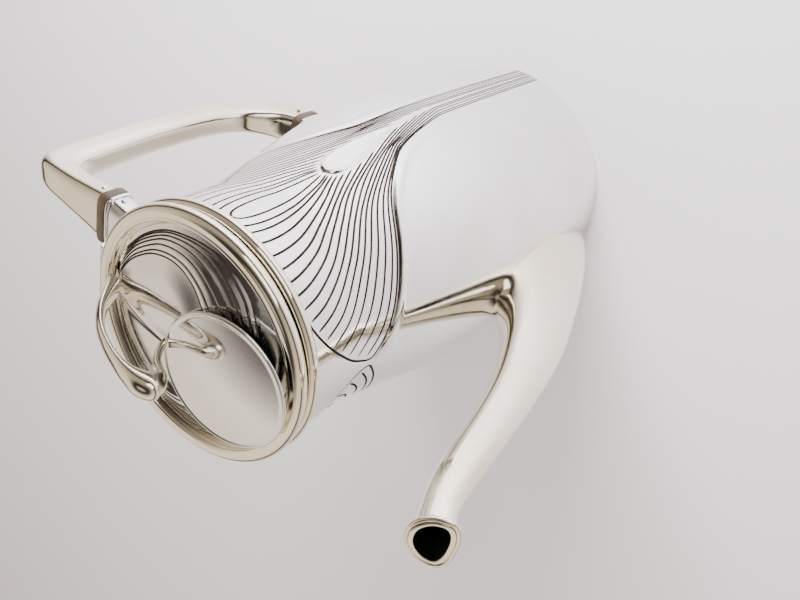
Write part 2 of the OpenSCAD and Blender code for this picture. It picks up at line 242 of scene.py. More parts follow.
# ---- meshes ----
def new_piece(name, verts, faces, material, body, nodes=(), slot="silver", sharp=True, colours=None):
    """A mesh piece from points in millimetres, which rides on a body and stands for CAD nodes."""
    mesh = bpy.data.meshes.new(name)
    mesh.from_pydata([tuple(v) for v in np.asarray(verts, float) * MM], [], faces)
    if colours is not None:
        mesh.polygons.foreach_set("material_index", colours)
    obj = bpy.data.objects.new(name, mesh)
    bpy.context.scene.collection.objects.link(obj)
    tidy = bmesh.new()
    tidy.from_mesh(mesh)
    bmesh.ops.remove_doubles(tidy, verts=tidy.verts, dist=0.002 * MM)
    bmesh.ops.dissolve_degenerate(tidy, edges=tidy.edges, dist=0.0005 * MM)
    bmesh.ops.recalc_face_normals(tidy, faces=tidy.faces)
    tidy.to_mesh(mesh)
    tidy.free()
    mesh.shade_smooth()
    if sharp:
        mesh.set_sharp_from_angle(angle=SHARP_ANGLE)
    for each in material if isinstance(material, (list, tuple)) else [material]:
        mesh.materials.append(each)
    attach(obj, body)
    if nodes:
        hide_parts(*nodes)
    return obj


def loft(rings, closed=False, caps=True):
    """Points and faces of a skin over rings with the same number of points."""
    rings = [np.asarray(r) for r in rings]
    n = len(rings[0])
    spans = len(rings) if closed else len(rings) - 1
    faces = []
    for i in range(spans):
        a, b = i * n, ((i + 1) % len(rings)) * n
        faces += [(a + j, b + j, b + (j + 1) % n, a + (j + 1) % n) for j in range(n)]
    if caps and not closed:
        faces.append(tuple(range(n)))
        faces.append(tuple(range(len(rings) * n - 1, (len(rings) - 1) * n - 1, -1)))
    return np.concatenate(rings), faces


def revolve(profile, count=192, axis="Z", centre=(0, 0, 0)):
    """A closed solid from a closed outline of (radius, height), round Z or round Y."""
    rings = []
    for k in range(count):
        w = 2 * math.pi * k / count
        ring = [(r * math.cos(w), r * math.sin(w), h) for r, h in profile]
        rings.append(np.array(ring))
    verts, faces = loft(rings, closed=True)
    if axis == "Y":
        verts = verts[:, [0, 2, 1]]
    return verts + np.array(centre), faces


def arc(centre, radius, start, stop, count=8):
    """Points of a circular arc, with angles in degrees."""
    angles = np.radians(np.linspace(start, stop, count + 1))
    return [(centre[0] + radius * math.cos(a), centre[1] + radius * math.sin(a)) for a in angles]


def rounded_ring(y0, y1, z0, z1, x, corner=0.55, count=56):
    """A ring at one x with rounded corners. corner is 1 for an ellipse and less for a box."""
    w = np.linspace(0, 2 * math.pi, count, endpoint=False)
    y = (y0 + y1) / 2 + (y1 - y0) / 2 * signed_power(np.cos(w), corner)
    z = (z0 + z1) / 2 + (z1 - z0) / 2 * signed_power(np.sin(w), corner)
    return np.column_stack([np.full(count, float(x)), y, z])


def bevelled_block(low, high, bevel):
    """Points and faces of a box with rounded edges."""
    shape = bmesh.new()
    bmesh.ops.create_cube(shape, size=1)
    low, high = Vector(low), Vector(high)
    for v in shape.verts:
        v.co = Vector(((a + b) / 2 + c * (b - a) for a, b, c in zip(low, high, v.co)))
    bmesh.ops.bevel(shape, geom=shape.edges[:], offset=bevel, segments=4, profile=0.5, affect="EDGES")
    shape.verts.index_update()
    verts = np.array([v.co[:] for v in shape.verts])
    faces = [tuple(v.index for v in f.verts) for f in shape.faces]
    shape.free()
    return verts, faces


def joined(*parts):
    """Several (points, faces) as one."""
    verts, faces, base = [], [], 0
    for points, polygons in parts:
        verts.append(np.asarray(points, float))
        faces += [tuple(i + base for i in f) for f in polygons]
        base += len(points)
    return np.concatenate(verts), faces


# ---- materials ----
def set_stops(ramp, stops):
    """Puts (place, colour) stops on a colour ramp node."""
    ends = ramp.color_ramp.elements
    while len(ends) < len(stops):
        ends.new(0.5)
    for end, (at, colour) in zip(ends, stops):
        end.position = at
        end.color = (*colour, 1)


class Graph:
    """A short way to build a node material."""

    def __init__(self, name):
        self.material = bpy.data.materials.new(name)
        self.material.use_nodes = True
        self.tree = self.material.node_tree
        self.tree.nodes.clear()
        self.out = self.node("ShaderNodeOutputMaterial")
        self.shader = self.node("ShaderNodeBsdfPrincipled")
        self.link(self.shader, "BSDF", self.out, "Surface")
        self.place = self.node("ShaderNodeTexCoord")

    def node(self, kind):
        return self.tree.nodes.new(kind)

    def link(self, a, out, b, into):
        self.tree.links.new(a.outputs[out], b.inputs[into])

    def mapped(self, scale):
        mapping = self.node("ShaderNodeMapping")
        mapping.inputs["Scale"].default_value = scale
        self.link(self.place, "Object", mapping, "Vector")
        return mapping

    def noise(self, scale, detail=4.0, roughness=0.55, stretch=(1, 1, 1)):
        made = self.node("ShaderNodeTexNoise")
        made.inputs["Scale"].default_value = scale
        made.inputs["Detail"].default_value = detail
        made.inputs["Roughness"].default_value = roughness
        self.link(self.mapped(stretch), "Vector", made, "Vector")
        return made

    def ramp(self, source, stops):
        made = self.node("ShaderNodeValToRGB")
        set_stops(made, stops)
        self.link(source, 0, made, "Fac")
        return made

    def ranged(self, source, low, high, start=0.0, stop=1.0):
        made = self.node("ShaderNodeMapRange")
        for name, value in (("From Min", start), ("From Max", stop), ("To Min", low), ("To Max", high)):
            made.inputs[name].default_value = value
        self.link(source, 0, made, "Value")
        return made

    def bump(self, source, strength, distance, under=None):
        made = self.node("ShaderNodeBump")
        made.inputs["Strength"].default_value = strength
        made.inputs["Distance"].default_value = distance
        self.link(source, 0, made, "Height")
        if under is not None:
            self.link(under, "Normal", made, "Normal")
        return made


def silver_material(name, clean, tarnished, low_rough, high_rough):
    """Polished silver: cloudy tarnish, soft smears in the polish and fine hairline scratches."""
    g = Graph(name)
    g.shader.inputs["Metallic"].default_value = 1.0
    cloud = g.noise(38, 5, 0.6)
    tint = g.ramp(cloud, [(0.42, clean), (0.78, tarnished)])
    g.link(tint, "Color", g.shader, "Base Color")
    smear = g.noise(120, 3, 0.6, (1, 1, 0.35))
    g.link(g.ranged(smear, low_rough, high_rough, 0.3, 0.75), 0, g.shader, "Roughness")
    across = g.noise(900, 2, 0.5, (1, 0.06, 1))
    along = g.noise(900, 2, 0.5, (0.08, 1, 0.3))
    first = g.bump(across, 0.012, 0.0006)
    second = g.bump(along, 0.012, 0.0006, first)
    g.link(second, "Normal", g.shader, "Normal")
    return g.material


def oxide_material():
    """The brown-black oxide left in the engraved lines."""
    g = Graph("oxide_in_lines")
    g.shader.inputs["Roughness"].default_value = 0.7
    g.shader.inputs["Specular IOR Level"].default_value = 0.15
    patch = g.noise(700, 4)
    shades = g.ramp(patch, [(0.35, (0.010, 0.007, 0.005)), (0.75, (0.045, 0.032, 0.022))])
    g.link(shades, "Color", g.shader, "Base Color")
    return g.material


def insulator_material():
    """Dark brown horn with a faint grain along the arm and a satin skin."""
    g = Graph("dark_insulator")
    grain = g.noise(260, 5, 0.6, (0.25, 1, 1))
    shades = g.ramp(grain, [(0.3, (0.020, 0.013, 0.008)), (0.7, (0.060, 0.040, 0.022))])
    g.link(shades, "Color", g.shader, "Base Color")
    g.link(g.ranged(grain, 0.28, 0.46), 0, g.shader, "Roughness")
    g.link(g.bump(g.noise(1400, 3), 0.12, 0.0002), "Normal", g.shader, "Normal")
    return g.material


SILVER = silver_material("cool_silver", (0.88, 0.88, 0.88), (0.80, 0.78, 0.74), 0.05, 0.13)
WARM = silver_material("warm_silver", (0.92, 0.87, 0.75), (0.84, 0.75, 0.56), 0.06, 0.15)
OXIDE = oxide_material()
DARK = insulator_material()


# ---- engraved sheets ----
def distance_to(points, line):
    """Distance from each point to a line of segments."""
    best = np.full(len(points), np.inf)
    for a, b in zip(line[:-1], line[1:]):
        step = b - a
        t = np.clip(((points - a) @ step) / max(step @ step, 1e-12), 0, 1)
        best = np.minimum(best, np.hypot(*(points - a - t[:, None] * step).T))
    return best


def inside(points, outline):
    """Which points lie inside a closed outline."""
    x, y = points.T
    result = np.zeros(len(points), bool)
    for (x0, y0), (x1, y1) in zip(outline, np.roll(outline, -1, axis=0)):
        if y0 == y1:
            continue
        crosses = (y0 > y) != (y1 > y)
        result ^= crosses & (x < (x1 - x0) * (y - y0) / (y1 - y0) + x0)
    return result


def beside(line, offset):
    """The line moved sideways, to its left when offset is positive. offset may vary along it."""
    ahead = np.gradient(line, axis=0)
    ahead /= np.hypot(*ahead.T)[:, None]
    return line + np.column_stack([-ahead[:, 1], ahead[:, 0]]) * np.reshape(offset, (-1, 1))


def groove(line, width, taper=(1, 1)):
    """Left edge, bottom and right edge of a cut along a line, and how full it is at each point."""
    along = np.linspace(0, 1, len(line))
    reach = 1.6 / (len(line) - 1)
    full = np.ones(len(line))
    if taper[0]:
        full *= np.clip(along / reach, 0, 1) ** 0.6
    if taper[1]:
        full *= np.clip((1 - along) / reach, 0, 1) ** 0.6
    half = full * width / 2
    return beside(line, half), line, beside(line, -half), full


def line_width(line):
    """Lines are wider near the rim than in the band."""
    return np.interp(line[:, 1], LINE_W_Z, LINE_W)


def engraved_sheet(outline, grid, lines, extra=(), holes=()):
    """A flat triangle sheet with cut lines, before it is bent to shape.

    lines holds (points, width, taper). Returns points, triangles, the depth of each point, which
    triangles lie in a cut, which lie in a hole, and where each outline and hole point went.
    """
    points, edges, depth = [], [], []

    def add(path, depths, closed=False):
        first = len(points)
        points.extend(tuple(p) for p in path)
        depth.extend(depths)
        last = first + len(path) - 1
        edges.extend((i, i + 1) for i in range(first, last))
        if closed:
            edges.append((last, first))

    add(outline, [0.0] * len(outline), closed=True)
    for path in holes:
        add(path, [0.0] * len(path), closed=path[0, 0] != 0)
    fixed = len(points)
    for path in extra:
        add(path, [0.0] * len(path))
    cuts = []
    for line, width, taper in lines:
        left, middle, right, full = groove(line, width, taper)
        a, b = (1 if taper[0] else 0), (len(line) - 1 if taper[1] else len(line))
        ring = np.concatenate([left[a:b], middle[b:], right[a:b][::-1], middle[:a]])
        add(ring, [0.0] * len(ring), closed=True)
        add(middle[a:b], list(LINE_DEPTH * full[a:b]))
        cuts.append(ring)
    points.extend(tuple(p) for p in grid)
    depth.extend([0.0] * len(grid))
    found = delaunay_2d_cdt([Vector(p) for p in points], edges, [], 0, 1e-5)
    flat = np.array([v[:] for v in found[0]])
    triangles = [tuple(f) for f in found[2]]
    deep = np.array([max((depth[i] for i in origin), default=0.0) for origin in found[3]])
    went = {i: new for new, origin in enumerate(found[3]) for i in origin if i < fixed}
    middle = flat[np.array(triangles)].mean(1)
    in_cut = np.zeros(len(triangles), bool)
    for ring in cuts:
        near = np.all((middle > ring.min(0)) & (middle < ring.max(0)), axis=1)
        in_cut[near] |= inside(middle[near], ring)
    in_hole = np.zeros(len(triangles), bool)
    for ring in holes:
        in_hole |= inside(middle, ring)
    within = inside(middle, np.asarray(outline))
    keep = np.flatnonzero(within)
    return flat, [triangles[i] for i in keep], deep, in_cut[keep], in_hole[keep], went


def to_flat(points):
    """(angle, height) to lengths on the laid-out wall."""
    points = np.asarray(points, float)
    return np.column_stack([np.radians(points[:, 0]) * FLAT_R, points[:, 1]])


def drop_half(z):
    """Half width of the drop-shaped reserve at height z, in degrees."""
    s = np.clip((np.asarray(z, float) - DROP_LOW) / (DROP_HIGH - DROP_LOW), 0, 1)
    return DROP_HALF / 0.715 * s ** 0.8 * np.sqrt(1 - s ** 6)


def straight_band(path):
    """The path, carried on down the band to the foot of the pot."""
    angle, top = path[-1]
    down = [(angle + 0.35 * s, top * (1 - s) + 0.8 * s) for s in np.linspace(0.02, 1, 50)]
    return np.vstack([path, down])


TONGUE = to_flat(curve(TONGUE_EDGE, 60))


def engraved_lines():
    """The cut lines of one quarter of the wall, laid flat, from the border to the loop."""
    count = LINES_PER_GUIDE * (len(LINE_GUIDES) - 1) + 1
    guides = np.array(LINE_GUIDES, float)
    lines = []
    for k in range(count):
        knots = [spline(guides[:, j], k / LINES_PER_GUIDE) for j in range(guides.shape[1])]
        path = curve(knots, 90)
        if k < BAND_LINES:
            path = straight_band(path)
        else:
            blocked = (90 - path[:, 0]) < drop_half(path[:, 1]) + 0.15
            path = path[:np.argmax(blocked)] if blocked.any() else path
        flat = resample(to_flat(path), 0.3)
        if k >= BAND_LINES:
            flat = flat[distance_to(flat, DROP_EDGE) > 0.3]
        if k > 0:
            flat = flat[inside(flat, PANEL) & (distance_to(flat, TONGUE) > 0.55)]
        lines.append(resample(flat[flat[:, 1] < BODY_H - 1], LINE_STEP))
    return lines


QUARTER_W = math.radians(90) * FLAT_R
BORDER = to_flat(straight_band(curve(LINE_GUIDES[0], 90)))
OVER = 5.0           # how far the areas reach past the quarter's edges
ABOVE = (TONGUE[0, 0], BODY_H + OVER)
PANEL = np.vstack([TONGUE, BORDER[1:], [(QUARTER_W + OVER, 0), (QUARTER_W + OVER, BODY_H + OVER), ABOVE]])
TONGUE_AREA = np.vstack([TONGUE, [(-OVER, TONGUE[-1, 1] - 4), (-OVER, BODY_H + OVER), ABOVE]])
DROP_TURN = np.linspace(0.03, math.pi - 0.03, 60)
DROP_Z = DROP_LOW + (DROP_HIGH - DROP_LOW) * (1 - np.cos(DROP_TURN)) / 2
DROP_EDGE = resample(to_flat(np.column_stack([90 - drop_half(DROP_Z), DROP_Z])), 0.8)
FLAT_LINES = engraved_lines()
EDGE_LINE = resample(np.vstack([TONGUE, BORDER[1:]]), LINE_STEP)


def relief(flat):
    """How far the polished surface stands off the plain wall, on the laid-out quarter."""
    flat = np.column_stack([QUARTER_W - np.abs(QUARTER_W - np.abs(flat[:, 0])), flat[:, 1]])
    under = np.clip(1 - flat[:, 1] / FOOT_ROUND, 0, 1)
    height = FOOT_ROUND * (np.sqrt(1 - under ** 2) - 1)
    within = inside(flat, PANEL)
    border = distance_to(flat, BORDER)
    fade = np.clip(flat[:, 1] / 30, 0, 1)
    ridge = 0.42 * np.exp(-(((border - 2.1) / 1.3) ** 2)) * np.clip(border / 0.9, 0, 1) * fade
    tongue = inside(flat, TONGUE_AREA)
    height += np.where(~within & ~tongue, ridge, 0)
    edge = distance_to(flat, TONGUE)
    height += np.where(tongue, 0.22 * ease(np.clip(edge / 1.4, 0, 1)), 0)
    rim = distance_to(flat, DROP_EDGE)
    half = np.radians(drop_half(flat[:, 1])) * FLAT_R
    in_drop = (QUARTER_W - flat[:, 0]) < half
    swell = 0.48 * np.exp(-(((rim - 0.8) / 0.62) ** 2)) + 0.12 * ease(np.clip(rim / 2.5, 0, 1))
    height += np.where(in_drop, swell, 0.09 * np.exp(-((rim / 0.3) ** 2)))
    return height


def bend(flat, out):
    """A place on the laid-out wall, turned into the frame's axes, out millimetres off the wall."""
    angle = math.pi + flat[:, 0] / FLAT_R
    r = body_r(flat[:, 1]) + out
    return np.column_stack([r * np.cos(angle), r * np.sin(angle), flat[:, 1]])


def wall_normals(flat):
    """Outward directions of the polished wall, without its cut lines."""
    d = 0.05
    sides = [bend(p, relief(p)) for p in (flat + (d, 0), flat - (d, 0), flat + (0, d), flat - (0, d))]
    normal = np.cross(sides[0] - sides[1], sides[2] - sides[3])
    normal /= np.linalg.norm(normal, axis=1)[:, None]
    outward = bend(flat, 1) - bend(flat, 0)
    return normal * np.sign(np.sum(normal * outward, axis=1))[:, None]


def strainer_arcs():
    """Outlines of the strainer holes in one quarter, laid flat."""
    arcs = []
    for row in range(-3, 4):
        for col in range(0, 3):
            y = (col + (0 if row % 2 == 0 else 0.5)) * STRAINER_PITCH
            z = row * STRAINER_PITCH
            if (y / STRAINER_HALF_W) ** 2 + (z / STRAINER_HALF_H) ** 2 >= 1:
                continue
            turns = np.linspace(-90, 90, 11) if y == 0 else np.linspace(0, 360, 20, endpoint=False)
            a = np.radians(turns)
            angle = np.degrees(np.arcsin((y + STRAINER_R * np.cos(a)) / BELLY_R))
            flat = to_flat(np.column_stack([angle, STRAINER_Z + z + STRAINER_R * np.sin(a)]))
            flat[np.abs(flat) < 1e-6] = 0
            arcs.append(flat)
    return arcs


# ---- body ----
def wall_outline(holes):
    """The edge of one laid-out quarter, with points where the strainer holes cross it."""
    heights = np.linspace(0, BODY_H, 90)
    crossings = [end for ring in holes if ring[0, 0] == 0 for end in (ring[0, 1], ring[-1, 1])]
    near = sorted([z for z in heights if all(abs(z - c) > 0.3 for c in crossings)] + crossings)
    foot = [(x, 0.0) for x in np.linspace(0, QUARTER_W, 46)[1:-1]]
    top = [(x, BODY_H) for x, _ in foot]
    right = [(QUARTER_W, z) for z in heights]
    left = [(0.0, z) for z in near]
    return [left[0]] + foot + right + top[::-1] + left[:0:-1], len(foot)


def wall_grid(across, up):
    columns = np.linspace(0, QUARTER_W, across)[1:-1]
    rows = list(np.linspace(0, BODY_H, up)[1:-1]) + [0.08, 0.2, 0.38, FOOT_ROUND]
    return [(x, z) for x in columns for z in rows]


def fold(co):
    """Places on the whole wall, brought back to the laid-out quarter, with the signs of x and y."""
    side = np.column_stack([np.where(co[:, 0] > 0, -1.0, 1.0), np.where(co[:, 1] > 0, -1.0, 1.0)])
    angle = np.arctan2(np.abs(co[:, 1]), np.abs(co[:, 0]))
    return np.column_stack([angle * FLAT_R, co[:, 2]]), side


def set_wall_normals(obj):
    """Shades the polished wall by its true curve, and the cuts and edges by their faces."""
    mesh = obj.data
    co = np.zeros(len(mesh.vertices) * 3)
    mesh.vertices.foreach_get("co", co)
    co = co.reshape(-1, 3) / MM
    flat, side = fold(co)
    true = wall_normals(flat)
    true[:, :2] *= side
    radial = co * (1, 1, 0)
    radial /= np.maximum(np.linalg.norm(radial, axis=1), 1e-9)[:, None]
    normals = np.zeros((len(mesh.loops), 3))
    for face in mesh.polygons:
        own = np.array(face.normal)
        centre = np.array(face.center) / MM
        r = math.hypot(centre[0], centre[1])
        outer = r > body_r(centre[2]) - WALL / 2
        upright = abs(own @ np.array([centre[0], centre[1], 0]) / r) > 0.7
        for k in face.loop_indices:
            v = mesh.loops[k].vertex_index
            if face.material_index or not upright:
                normals[k] = own
            else:
                normals[k] = true[v] if outer else -radial[v]
    mesh.normals_split_custom_set([tuple(n) for n in normals])


def pot_body():
    """The whole wall: four mirrored engraved quarters, the plain inside and the strainer holes."""
    holes = strainer_arcs()
    outline, foot = wall_outline(holes)
    loop = resample(to_flat(curve(LOOP_LINE, 40)), LINE_STEP)
    lines = [(EDGE_LINE, line_width(EDGE_LINE), (1, 1)), (loop, line_width(loop), (1, 0))]
    lines += [(line, line_width(line), (1, 1)) for line in FLAT_LINES[1:]]
    ridges = [clipped(beside(BORDER[::2], -s), 0.3) for s in (0.7, 1.3, 2.1, 2.9, 3.8, 5)]
    ridges += [clipped(beside(DROP_EDGE, s), 0.3) for s in (-0.12, -0.45, -0.8, -1.2, -1.9)]
    ridges += [clipped(beside(TONGUE[::2], -s), 0.3) for s in (0.7, 1.4)]
    outer = engraved_sheet(outline, wall_grid(46, 70), lines, ridges, holes)
    inner = engraved_sheet(outline, wall_grid(30, 40), [], [], holes)
    out_at = bend(outer[0], relief(outer[0]) - outer[2])
    in_at = bend(inner[0], -WALL)
    base = len(out_at)
    faces, cut, hole = [], [], []
    for sheet, shift in ((outer, 0), (inner, base)):
        faces += [tuple(i + shift for i in f) for f in sheet[1]]
        cut += list(sheet[3])
        hole += list(sheet[4])
    corner = foot + 1
    right = len([p for p in outline if p[0] == QUARTER_W])
    edges = [(i, i + 1) for i in range(corner)]
    edges += [(i, i + 1) for i in range(corner + right - 1, corner + right + foot)]
    rims = [(a, b, False) for a, b in edges]
    first = len(outline)
    for ring in holes:
        last = first + len(ring) - 1
        rims += [(i, i + 1, True) for i in range(first, last)]
        if ring[0, 0] != 0:
            rims.append((last, first, True))
        first = last + 1
    points = np.vstack([out_at, in_at])
    all_points, all_faces, colours = [], [], []
    for mirror_x in (1, -1):
        for mirror_y in (1, -1):
            shift = len(all_points) * len(points)
            all_points.append(points * (mirror_x, mirror_y, 1))
            for face, dark, gap in zip(faces, cut, hole):
                if gap and mirror_x == 1:
                    continue
                all_faces.append(tuple(i + shift for i in face))
                colours.append(int(dark))
            for a, b, of_hole in rims:
                if of_hole and mirror_x == -1:
                    continue
                quad = (outer[5][a], outer[5][b], inner[5][b] + base, inner[5][a] + base)
                all_faces.append(tuple(i + shift for i in quad))
                colours.append(0)
    obj = new_piece("engraved_body", np.vstack(all_points), all_faces, [SILVER, OXIDE], "pot",
                    ["body_shell"], "engraved_silver", sharp=False, colours=colours)
    set_wall_normals(obj)
    return obj


# ---- spout ----
def spout():
    last = len(SPOUT_ROWS) - 1
    steps = np.linspace(0.25, last, 130)
    count = 96
    outside = [section(SPOUT_ROWS, t, SPOUT_ROUND, 0, count) for t in steps]
    turns = np.linspace(0, 2 * math.pi, 20, endpoint=False)
    lip = [section(SPOUT_ROWS, last - 0.1 + 0.1 * math.cos(a), SPOUT_ROUND, 0.62 + 0.6 * math.sin(a), count)
           for a in turns]
    within = [section(SPOUT_ROWS, t, SPOUT_ROUND, -SPOUT_WALL, count) for t in steps[::-1]]
    edge = [section(SPOUT_ROWS, last + 0.02, SPOUT_ROUND, -SPOUT_WALL * s, count) for s in (0.25, 0.75)]
    verts, faces = loft(outside + edge + within, closed=True)
    new_piece("spout_tube", verts, faces, WARM, "pot", ["spout"], "warm_silver")
    verts, faces = loft(lip, closed=True)
    new_piece("spout_mouth_lip", verts, faces, WARM, "pot", ["spout_lip"], "warm_silver")


# ---- handle ----
def grip():
    last = len(HANDLE_ROWS) - 1
    ends = np.array([0, 0.012, 0.036])
    steps = np.concatenate([ends, np.linspace(0.1, last - 0.1, 170), last - ends[::-1]])
    draw = {0: -0.5, 1: -0.15}
    rings = []
    for k, t in enumerate(steps):
        from_end = min(k, len(steps) - 1 - k)
        rings.append(section(HANDLE_ROWS, t, HANDLE_ROUND, draw.get(from_end, 0), 72))
    verts, faces = loft(rings)
    new_piece("handle_grip", verts, faces, WARM, "pot", ["handle"], "warm_silver")


def collar_plate(x0, x1, z, half_h, half_w, bevel=0.35):
    """A rounded plate square to the arm, with eased edges."""
    eased = [(0, bevel), (0.12, bevel / 3), (bevel, 0)]
    places = [(x0 + dx, inset) for dx, inset in eased] + [(x1 - dx, inset) for dx, inset in eased[::-1]]
    rings = []
    for x, inset in places:
        wide, high = half_w - inset, half_h - inset
        rings.append(rounded_ring(-wide, wide, z - high, z + high, x, 0.42))
    return loft(rings)


def socket(name, rows, plate, node):
    """A silver arm through its rows, with the end plate that meets the insulator."""
    rings = []
    for t in np.linspace(0, len(rows) - 1, 40):
        x, low, high, half_w = spline(rows, t)
        rings.append(rounded_ring(-half_w, half_w, low, high, x, 0.5))
    verts, faces = joined(loft(rings), collar_plate(*plate))
    new_piece(name, verts, faces, SILVER, "pot", [node], "silver")


def domed_pin(node, x, z, half):
    """A pin across the arm with low domed heads."""
    head = arc((0, half - 0.5), PIN_R, 0, 90, 6)
    head = [(r, half - 0.5 + (h - half + 0.5) * 0.5) for r, h in head]
    outline = [(0, -half)] + [(r, -h) for r, h in head[::-1]][1:] + head[:-1] + [(0, half)]
    verts, faces = revolve(outline, 32, "Y", (x, 0, z))
    new_piece(node + "_domed", verts, faces, SILVER, "pot", [node], "silver")


def fittings():
    """Both arms: the silver socket, the insulator plate and the pins on either side of it."""
    arms = [("upper", UPPER_SOCKET_ROWS, SOCKET_X, UPPER_ARM_Z, UPPER_PLATE, (8.6, 8.6)),
            ("lower", LOWER_SOCKET_ROWS, SOCKET_X + LOWER_DX, LOWER_ARM_Z, LOWER_PLATE, (7.8, 8.0))]
    for arm, rows, x, z, (half_h, half_w), _ in arms:
        socket(arm + "_arm_socket", rows, (x - PLATE_T, x, z, half_h, half_w), arm + "_socket")
    for arm, _, x, z, (half_h, half_w), _ in arms:
        plate = collar_plate(x, x + INSULATOR_T, z, half_h + INSULATOR_PROUD, half_w + INSULATOR_PROUD, 0.5)
        new_piece(arm + "_insulator_plate", *plate, DARK, "pot", [arm + "_insulator"], "insulator")
    for arm, _, x, z, _, halves in arms:
        domed_pin(arm + "_socket_pin", x - PIN_DX, z, halves[0])
    for arm, _, x, z, _, halves in arms:
        domed_pin(arm + "_handle_pin", x + INSULATOR_T + PIN_DX, z, halves[1])


# ---- rims and collar ----
def notched_rim():
    """The lid's rolled rim, with room for the hinge barrel under its unbroken top."""
    inner = RIM_R - RIM_W
    half = RIM_H / 2
    rim_top = RIM_Z + RIM_H
    top = [(inner + 1.5, rim_top - 0.35)] + arc((inner + 0.75, rim_top - 0.85), 0.7, 60, 180, 8)
    side = arc((RIM_R - half, RIM_Z + half), half, -90, 78, 28)
    brow_r = RIM_R - half + math.sqrt(half ** 2 - (NOTCH_TOP - RIM_Z - half) ** 2)

    def ring(angle, notched):
        a = math.radians(angle)
        if notched:
            wall_r = NOTCH_X / math.cos(a)
            cut = [(min(max(r, wall_r), brow_r), NOTCH_TOP) if h < NOTCH_TOP else (r, h) for r, h in side]
            outline = [(inner, RIM_Z), (wall_r, RIM_Z), (wall_r, NOTCH_TOP)] + cut + top
        else:
            outline = [(inner, RIM_Z), (RIM_R - half, RIM_Z), (RIM_R - half, RIM_Z)] + side + top
        return np.array([(r * math.cos(a), r * math.sin(a), h) for r, h in outline])

    rings = [ring(a, True) for a in np.linspace(-NOTCH_ANGLE, NOTCH_ANGLE, 21)]
    rings += [ring(a, False) for a in np.linspace(NOTCH_ANGLE, 360 - NOTCH_ANGLE, 240)]
    return loft(rings, closed=True)


def rims():
    """The wire round the mouth, the lid's rolled rim and the collar inside the lid."""
    seat_r = NECK_R - 0.02
    lip = arc((NECK_R - 0.4, RING_Z + 1.8), 1.95, -66, 66, 16)
    outline = [(seat_r, RING_Z)] + [(r, h) for r, h in lip if RING_Z < h < BODY_H] + [(seat_r, BODY_H)]
    new_piece("rolled_mouth_ring", *revolve(outline, 256), WARM, "pot", ["mouth_ring"], "warm_silver")
    new_piece("rolled_lid_rim", *notched_rim(), WARM, "lid", ["lid_rim"], "warm_silver")
    half = COLLAR_T / 2
    outline = arc((COLLAR_R - half, RIM_Z - COLLAR_H + half), half, -180, 0, 8)
    outline += [(COLLAR_R, RIM_Z), (COLLAR_R - COLLAR_T, RIM_Z)]
    new_piece("lid_locating_collar", *revolve(outline, 192), SILVER, "lid", ["lid_collar"], "silver")


# ---- lid ----
# Guides of the lines on the lid as (x, distance from the middle), from the loop's foot to the leaf
LID_GUIDES = [
    [(30, 4.1), (25.4, 11.5), (21, 16.1), (16.1, 19.7), (10.6, 21.7), (5.6, 22), (1.1, 20.6),
     (-2.3, 18.3), (-5.9, 14.3)],
    [(29.2, 8.9), (23.5, 17.5), (16.3, 23.7), (11.1, 26.2), (4.5, 27.2), (-1.7, 26.2), (-6.9, 23.5),
     (-10.8, 20.5), (-13.8, 17.2)],
    [(28.2, 13.6), (21.5, 22), (14, 27.6), (6, 30.2), (-0.8, 30.9), (-6.9, 30.3), (-13, 27.6),
     (-17.6, 23.6), (-21.7, 16.4)],
]
LID_LINES_PER_GUIDE = 3
LID_LINE_W = 0.5
BAND_HALF = 1.5      # how far from a line the bands between the lines stop rising
BAND_RISE = 0.14
BOSS_RISE = 0.45
RIDGE_RISE = 0.55
RIDGE_HALF = 1.9
DOME_STEP = 0.5
DOME_STEP_W = 0.9


def lid_lines(shift):
    """The lid's lines, or the middles of the bands between them when shift is a half."""
    guides = np.array(LID_GUIDES, float)
    lines = []
    for k in np.arange(shift, LID_LINES_PER_GUIDE * (len(guides) - 1) + 0.1):
        knots = [spline(guides[:, j], k / LID_LINES_PER_GUIDE) for j in range(guides.shape[1])]
        lines.append(resample(curve(knots, 60), 0.9))
    return lines


LID_PATHS = lid_lines(0)
LID_BANDS = lid_lines(0.5)
LID_BOSS = np.vstack([LID_PATHS[0], [(-5.9, -20), (30, -20)]])


def to_nearest_line(place):
    return np.min([distance_to(place, path) for path in LID_PATHS], axis=0)


def plain_dome(flat):
    return DOME_Z + DOME_RISE * (1 - (np.hypot(*flat.T) / DOME_R) ** 2)


def lid_height(flat):
    """Height of the dome, with its boss, its ridge and the crowned bands between the lines."""
    x, y = flat[:, 0], np.abs(flat[:, 1])
    place = np.column_stack([x, y])
    r = np.hypot(x, y)
    in_boss = inside(place, LID_BOSS)
    boss = BOSS_RISE * ease(np.clip(distance_to(place, LID_PATHS[0]) / 7, 0, 1))
    band = BAND_RISE * ease(np.clip(to_nearest_line(place) / BAND_HALF, 0, 1))
    along = ease(np.clip((x + 2) / 6, 0, 1)) * ease(np.clip((28 - x) / 4, 0, 1))
    ridge = RIDGE_RISE * along * np.exp(-((y / RIDGE_HALF) ** 2))
    step = DOME_STEP * ease(np.clip((r - DOME_STEP_R) / DOME_STEP_W, 0, 1))
    relief = np.where(in_boss, boss, np.where(r > 32, 0, band))
    return plain_dome(flat) + relief + ridge - step


def lid_normals(flat):
    d = 0.04
    slope_x = (lid_height(flat + (d, 0)) - lid_height(flat - (d, 0))) / (2 * d)
    slope_y = (lid_height(flat + (0, d)) - lid_height(flat - (0, d))) / (2 * d)
    normal = np.column_stack([-slope_x, -slope_y, np.ones(len(flat))])
    return normal / np.linalg.norm(normal, axis=1)[:, None]


